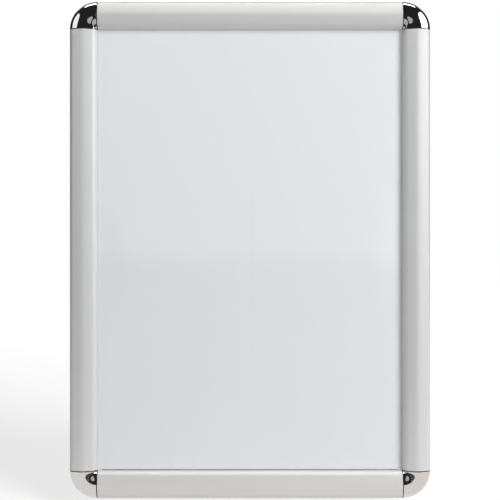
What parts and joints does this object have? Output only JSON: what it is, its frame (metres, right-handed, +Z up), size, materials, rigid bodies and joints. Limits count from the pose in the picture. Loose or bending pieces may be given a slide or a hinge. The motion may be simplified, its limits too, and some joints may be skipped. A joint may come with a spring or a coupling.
{
  "type": "poster frame",
  "caption": "Front-opening wall poster frame with rounded aluminium rails, chromed quarter-round corner caps, a clear cover sheet and a blank insert.",
  "frame": {"origin": "centre of the back plane that lies on the wall, midway between the wall holes", "axes": "+Z up, +X to the viewer's right, +Y into the wall; the front faces -Y"},
  "size_m": [0.327, 0.0115, 0.45],
  "materials": {
    "satin_aluminium": "satin silver anodised",
    "base_aluminium": "silver anodised extrusion",
    "cap_chrome": "polished chrome plating on moulded plastic",
    "bracket_plastic": "moulded, fine grain",
    "spring_steel": "blued spring strip",
    "screw_steel": "zinc plated",
    "board_plastic": "pale moulded sheet",
    "insert_paper": "blank white paper",
    "clear_sheet": "matt anti-glare clear sheet"
  },
  "bodies": {
    "frame": {"base_rail_left": "base_aluminium", "base_rail_right": "base_aluminium", "base_rail_top": "base_aluminium", "base_rail_bottom": "base_aluminium", "corner_bracket_top_left": "bracket_plastic", "corner_bracket_top_right": "bracket_plastic", "corner_bracket_bottom_left": "bracket_plastic", "corner_bracket_bottom_right": "bracket_plastic", "corner_cap_top_left": "cap_chrome", "corner_cap_top_right": "cap_chrome", "corner_cap_bottom_left": "cap_chrome", "corner_cap_bottom_right": "cap_chrome", "backing_board": "board_plastic", "poster_sheet": "insert_paper", "cover_sheet": "clear_sheet", "bracket_screws": "screw_steel", "cap_screws": "screw_steel", "spring_left_upper": "spring_steel", "spring_left_lower": "spring_steel", "spring_right_upper": "spring_steel", "spring_right_lower": "spring_steel", "spring_top_left": "spring_steel", "spring_top_right": "spring_steel", "spring_bottom_left": "spring_steel", "spring_bottom_right": "spring_steel"},
    "left_rail": {"front_rail_left": "satin_aluminium"},
    "right_rail": {"front_rail_right": "satin_aluminium"},
    "top_rail": {"front_rail_top": "satin_aluminium"},
    "bottom_rail": {"front_rail_bottom": "satin_aluminium"}
  },
  "joints": [
    {"name": "left_rail_hinge", "type": "hinge", "parent": "frame", "child": "left_rail", "pos_m": [-0.1611, -0.0042, 0], "axis": [0, 0, -1], "range_deg": [0, 95], "deforming": ["spring_left_upper", "spring_left_lower"]},
    {"name": "right_rail_hinge", "type": "hinge", "parent": "frame", "child": "right_rail", "pos_m": [0.1611, -0.0042, 0], "axis": [0, 0, 1], "range_deg": [0, 95], "deforming": ["spring_right_upper", "spring_right_lower"]},
    {"name": "top_rail_hinge", "type": "hinge", "parent": "frame", "child": "top_rail", "pos_m": [0, -0.0042, 0.2226], "axis": [-1, 0, 0], "range_deg": [0, 95], "deforming": ["spring_top_left", "spring_top_right"]},
    {"name": "bottom_rail_hinge", "type": "hinge", "parent": "frame", "child": "bottom_rail", "pos_m": [0, -0.0042, -0.2226], "axis": [1, 0, 0], "range_deg": [0, 95], "deforming": ["spring_bottom_left", "spring_bottom_right"]}
  ]
}
